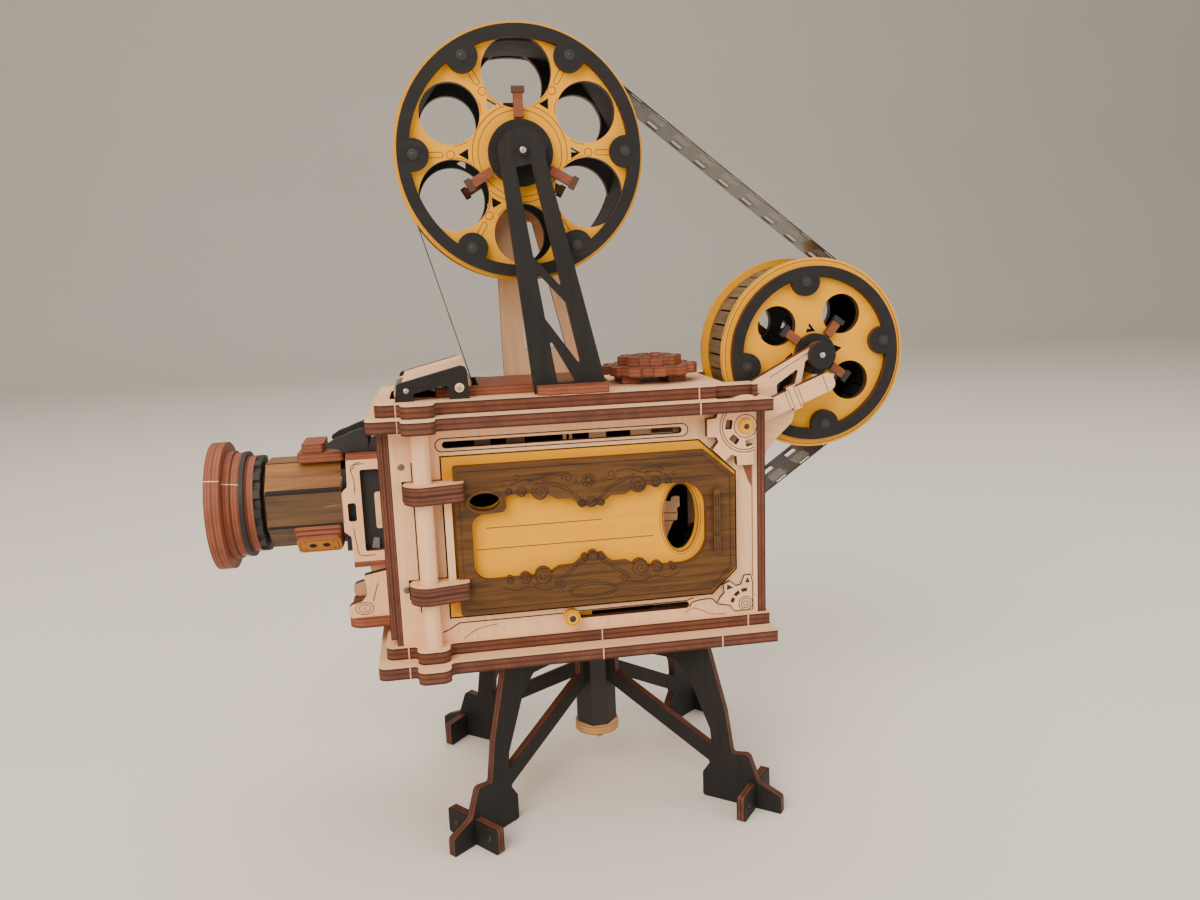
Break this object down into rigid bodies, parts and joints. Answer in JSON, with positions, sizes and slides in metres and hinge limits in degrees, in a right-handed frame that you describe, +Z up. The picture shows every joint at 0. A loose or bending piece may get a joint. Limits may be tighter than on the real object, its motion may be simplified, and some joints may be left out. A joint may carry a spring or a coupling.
{
  "type": "hand-cranked toy film projector",
  "caption": "Hand-cranked toy film projector in laser-cut plywood: a case with hinged door and lens on a four-legged swivel stand, with an endless film over two reels",
  "frame": {"origin": "under the middle of the whole object's box, on the surface that it stands on", "axes": "+X to the rear, so the lens points along -X; +Y to the crank side, away from the door; +Z up"},
  "size_m": [0.24, 0.1003, 0.264],
  "materials": {
    "black_ply": "plywood printed matte black",
    "natural_ply": "bare birch plywood, satin",
    "brown_ply": "red-brown stained plywood with burnt edges",
    "walnut_ply": "plywood printed with dark walnut grain",
    "yellow_ply": "plywood printed yellow",
    "film": "smoky translucent film",
    "lens_glass": "clear polished",
    "circuit_board": "solder mask",
    "holder_plastic": "moulded",
    "brass": "turned",
    "steel": "ground"
  },
  "bodies": {
    "stand": {"stand_hub": "black_ply", "leg_rear_far": "black_ply", "leg_front_far": "black_ply", "leg_front_near": "black_ply", "leg_rear_near": "black_ply"},
    "head": {"swivel_post": "natural_ply", "base_plate_lower": "brown_ply", "base_plate_upper": "brown_ply", "near_wall": "natural_ply", "far_wall": "natural_ply", "front_wall": "brown_ply", "rear_wall": "brown_ply", "top_plate_lower": "brown_ply", "top_plate_upper": "brown_ply", "hinge_post": "natural_ply", "corner_gear": "natural_ply", "reel_arm_near": "black_ply", "reel_arm_far": "natural_ply", "rear_brackets": "natural_ply", "top_trim": "brown_ply", "cog_ornament": "brown_ply", "guide_sides": "black_ply", "guide_cover": "natural_ply", "film_loop": "film", "mechanism_plates": "black_ply", "lamp_board": "circuit_board", "battery_holder": "holder_plastic", "music_comb": "steel", "lens_barrel": "walnut_ply", "barrel_plates": "brown_ply", "focus_tabs": "yellow_ply", "gate_frames": "natural_ply"},
    "door": {"door_sheet": "yellow_ply", "door_overlay": "walnut_ply", "door_hinge_leaves": "natural_ply"},
    "latch": {"latch_slider": "yellow_ply"},
    "lever": {"rear_lever": "natural_ply"},
    "crank": {"crank_gear": "natural_ply", "crank_arm": "brown_ply"},
    "knob": {"crank_knob": "natural_ply"},
    "sprocket": {"film_sprocket": "natural_ply", "sprocket_gear": "natural_ply"},
    "idler": {"idler_gear": "black_ply", "music_cylinder": "brass"},
    "shutter": {"shutter_wheel": "black_ply"},
    "guide_roller": {"guide_roller": "natural_ply"},
    "lower_roller": {"lower_roller": "natural_ply"},
    "focus": {"lens_rings": "brown_ply", "lens_toothed_disc": "black_ply", "lens_glass": "lens_glass"},
    "top_reel": {"top_reel_flanges": "yellow_ply", "top_reel_rings": "black_ply", "top_reel_drum": "black_ply", "top_reel_hub": "black_ply", "top_reel_tabs": "brown_ply"},
    "rear_reel": {"rear_reel_flanges": "yellow_ply", "rear_reel_rings": "black_ply", "rear_reel_drum": "brown_ply", "rear_reel_hub": "black_ply", "rear_reel_tabs": "brown_ply"}
  },
  "joints": [
    {"name": "head_swivel", "type": "hinge", "parent": "stand", "child": "head", "pos_m": [0.007, 0, 0.06], "axis": [0, 0, 1], "continuous": true},
    {"name": "door_hinge", "type": "hinge", "parent": "head", "child": "door", "pos_m": [-0.0509, -0.0303, 0.1], "axis": [0, 0, -1], "range_deg": [0, 110]},
    {"name": "latch_slide", "type": "slide", "parent": "head", "child": "latch", "axis": [1, 0, 0], "range_m": [0, 0.039]},
    {"name": "lever_pivot", "type": "hinge", "parent": "head", "child": "lever", "pos_m": [0.0567, -0.025, 0.1329], "axis": [0, -1, 0], "range_deg": [-26, 1]},
    {"name": "crank_turn", "type": "hinge", "parent": "head", "child": "crank", "pos_m": [0.0395, 0.025, 0.098], "axis": [0, 1, 0], "continuous": true},
    {"name": "knob_spin", "type": "hinge", "parent": "crank", "child": "knob", "pos_m": [0.0395, 0.04, 0.074], "axis": [0, 1, 0], "continuous": true},
    {"name": "sprocket_turn", "type": "hinge", "parent": "head", "child": "sprocket", "pos_m": [0.0197, 0, 0.0845], "axis": [0, 1, 0], "continuous": true},
    {"name": "idler_turn", "type": "hinge", "parent": "head", "child": "idler", "pos_m": [0.00015, 0, 0.10759], "axis": [0, 1, 0], "continuous": true},
    {"name": "shutter_turn", "type": "hinge", "parent": "head", "child": "shutter", "pos_m": [-0.03049, 0.02, 0.12921], "axis": [0, 1, 0], "continuous": true},
    {"name": "top_reel_turn", "type": "hinge", "parent": "head", "child": "top_reel", "pos_m": [-0.0129, 0, 0.2238], "axis": [0, 1, 0], "continuous": true},
    {"name": "rear_reel_turn", "type": "hinge", "parent": "head", "child": "rear_reel", "pos_m": [0.0869, 0, 0.1545], "axis": [0, 1, 0], "continuous": true},
    {"name": "guide_roller_turn", "type": "hinge", "parent": "head", "child": "guide_roller", "pos_m": [-0.0371, 0, 0.1502], "axis": [0, 1, 0], "continuous": true},
    {"name": "lower_roller_turn", "type": "hinge", "parent": "head", "child": "lower_roller", "pos_m": [-0.0532, 0, 0.096], "axis": [0, 1, 0], "continuous": true},
    {"name": "focus_slide", "type": "slide", "parent": "head", "child": "focus", "axis": [-1, 0, 0], "range_m": [0, 0.006]}
  ],
  "couplings": [
    {"joint": "sprocket_turn", "follows": "top_reel_turn", "ratio": 3.08},
    {"joint": "idler_turn", "follows": "top_reel_turn", "ratio": 1.0871},
    {"joint": "shutter_turn", "follows": "top_reel_turn", "ratio": -2.31},
    {"joint": "rear_reel_turn", "follows": "top_reel_turn", "ratio": 1.23},
    {"joint": "guide_roller_turn", "follows": "top_reel_turn", "ratio": -8.2796},
    {"joint": "lower_roller_turn", "follows": "top_reel_turn", "ratio": 7.0642},
    {"joint": "crank_turn", "follows": "top_reel_turn", "ratio": -1.848}
  ]
}
